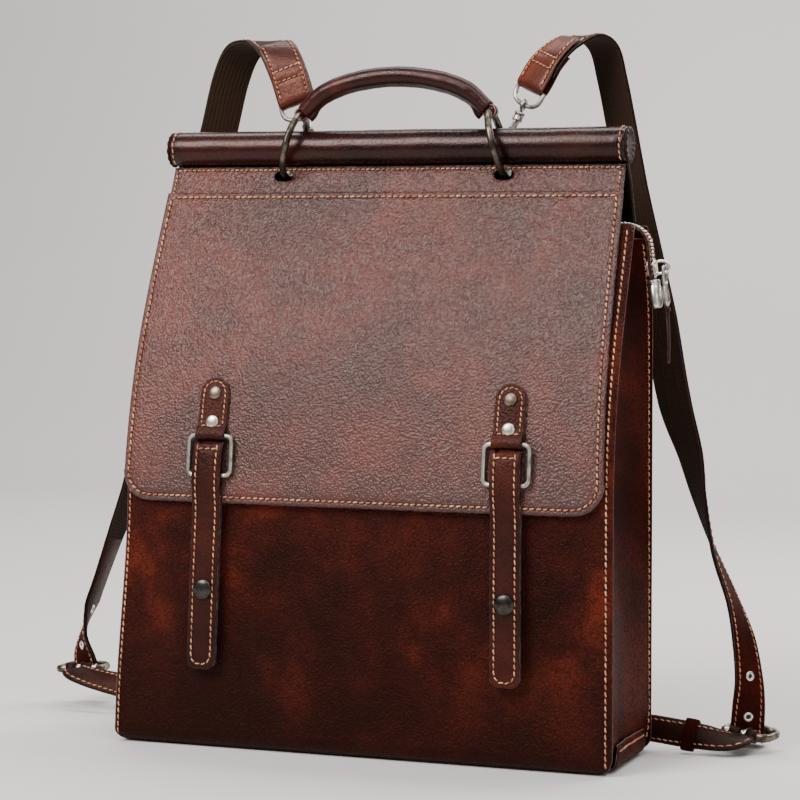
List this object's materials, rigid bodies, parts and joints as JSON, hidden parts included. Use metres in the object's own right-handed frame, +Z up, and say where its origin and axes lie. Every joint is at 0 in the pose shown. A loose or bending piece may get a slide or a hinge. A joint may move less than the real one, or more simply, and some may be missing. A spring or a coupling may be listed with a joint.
{
  "type": "leather backpack",
  "caption": "Leather backpack with a rod-topped flap, buckled tongues on snaps, a ringed carrying handle, a zipped mouth and hooked shoulder straps.",
  "frame": {"origin": "middle of the base's underside, where the bag stands", "axes": "+X to the right of someone looking at the front, -Y out of the front, +Y towards the wearer's back, +Z up"},
  "size_m": [0.532, 0.173, 0.4786],
  "materials": {
    "body_leather": "waxed full-grain hide, satin, mottled",
    "dark_leather": "waxed hide, satin",
    "tan_leather": "vegetable-tanned hide, satin",
    "lining": "plain woven cotton",
    "webbing": "ribbed cotton webbing backed with leather",
    "zip_cloth": "woven zip tape",
    "nickel": "warm brushed nickel plate",
    "bronze": "antique plated",
    "board": "pressed fibre board",
    "rod_wood": "plain dowel"
  },
  "bodies": {
    "bag": {"front_panel": "body_leather", "back_panel": "body_leather", "base_panel": "body_leather", "base_board": "board", "lining": "lining", "zip_tape_front": "zip_cloth", "zip_tape_back": "zip_cloth", "zip_end_tab": "zip_cloth", "zip_end_cap": "nickel", "crown_wrap": "body_leather", "rod_core": "rod_wood", "gusset_left": "body_leather", "rod_cap_left": "dark_leather", "snap_stud_left": "bronze", "anchor_tab_left": "dark_leather", "anchor_ring_left": "nickel", "strap_end_left": "tan_leather", "strap_ring_left": "nickel", "hook_eye_left": "nickel", "shoulder_strap_left": "webbing", "buckle_left": "nickel", "lower_strap_left": "dark_leather", "strap_keeper_left": "dark_leather", "gusset_right": "body_leather", "rod_cap_right": "dark_leather", "snap_stud_right": "bronze", "anchor_tab_right": "dark_leather", "anchor_ring_right": "nickel", "strap_end_right": "tan_leather", "strap_ring_right": "nickel", "hook_eye_right": "nickel", "shoulder_strap_right": "webbing", "buckle_right": "nickel", "lower_strap_right": "dark_leather", "strap_keeper_right": "dark_leather"},
    "handle": {"handle_grip": "body_leather", "handle_ring_left": "nickel", "handle_ring_right": "nickel"},
    "flap": {"flap_panel": "body_leather", "closure_tab_left": "body_leather", "rivet_upper_left": "bronze", "rivet_lower_left": "bronze", "closure_tab_right": "body_leather", "rivet_upper_right": "bronze", "rivet_lower_right": "bronze"},
    "zip_slider": {"zip_slider": "nickel"},
    "zip_pull": {"zip_pull": "nickel", "zip_thong": "dark_leather"},
    "closure_left": {"square_ring_left": "nickel", "tongue_left": "body_leather", "snap_cap_left": "bronze"},
    "hook_left": {"hook_body_left": "nickel"},
    "gate_left": {"hook_gate_left": "nickel"},
    "prong_left": {"buckle_prong_left": "nickel"},
    "closure_right": {"square_ring_right": "nickel", "tongue_right": "body_leather", "snap_cap_right": "bronze"},
    "hook_right": {"hook_body_right": "nickel"},
    "gate_right": {"hook_gate_right": "nickel"},
    "prong_right": {"buckle_prong_right": "nickel"}
  },
  "joints": [
    {"name": "flap_open", "type": "hinge", "parent": "bag", "child": "flap", "pos_m": [0, 0.0089, 0.3726], "axis": [-1, 0, 0], "range_deg": [0, 90]},
    {"name": "handle_swing", "type": "hinge", "parent": "bag", "child": "handle", "pos_m": [0, 0.0153, 0.4], "axis": [1, 0, 0], "range_deg": [-20, 32]},
    {"name": "zip_slide", "type": "slide", "parent": "bag", "child": "zip_slider", "axis": [-0.1201, 0, 0.9928], "range_m": [0, 0.008]},
    {"name": "pull_swing", "type": "hinge", "parent": "zip_slider", "child": "zip_pull", "pos_m": [0.1863, 0.012, 0.31948], "axis": [0, -1, 0], "range_deg": [0, 60]},
    {"name": "tongue_lift_left", "type": "hinge", "parent": "flap", "child": "closure_left", "pos_m": [-0.0995, -0.05863, 0.20664], "axis": [-1, 0, 0], "range_deg": [0, 70]},
    {"name": "tongue_lift_right", "type": "hinge", "parent": "flap", "child": "closure_right", "pos_m": [0.1035, -0.05863, 0.20664], "axis": [-1, 0, 0], "range_deg": [0, 70]},
    {"name": "hook_swivel_left", "type": "hinge", "parent": "bag", "child": "hook_left", "pos_m": [-0.07983, 0.04878, 0.42115], "axis": [0.5333, -0.1371, -0.8348], "range_deg": [-20, 20]},
    {"name": "hook_swivel_right", "type": "hinge", "parent": "bag", "child": "hook_right", "pos_m": [0.07895, 0.04947, 0.4275], "axis": [-0.3893, -0.1356, -0.9111], "range_deg": [-20, 20]},
    {"name": "gate_left_press", "type": "hinge", "parent": "hook_left", "child": "gate_left", "pos_m": [-0.07332, 0.04455, 0.41139], "axis": [0.846, 0.0864, 0.5262], "range_deg": [0, 18], "stiffness_Nm_per_rad": 0.01},
    {"name": "gate_right_press", "type": "hinge", "parent": "hook_right", "child": "gate_right", "pos_m": [0.0742, 0.04524, 0.41676], "axis": [0.9211, -0.0573, -0.385], "range_deg": [0, 18], "stiffness_Nm_per_rad": 0.01},
    {"name": "prong_lift_left", "type": "hinge", "parent": "bag", "child": "prong_left", "pos_m": [-0.25993, 0.06946, 0.02638], "axis": [0.9836, 0.1733, 0.0505], "range_deg": [0, 14]},
    {"name": "prong_lift_right", "type": "hinge", "parent": "bag", "child": "prong_right", "pos_m": [0.23001, 0.06945, 0.01153], "axis": [0.9756, -0.2025, -0.0848], "range_deg": [0, 14]}
  ]
}
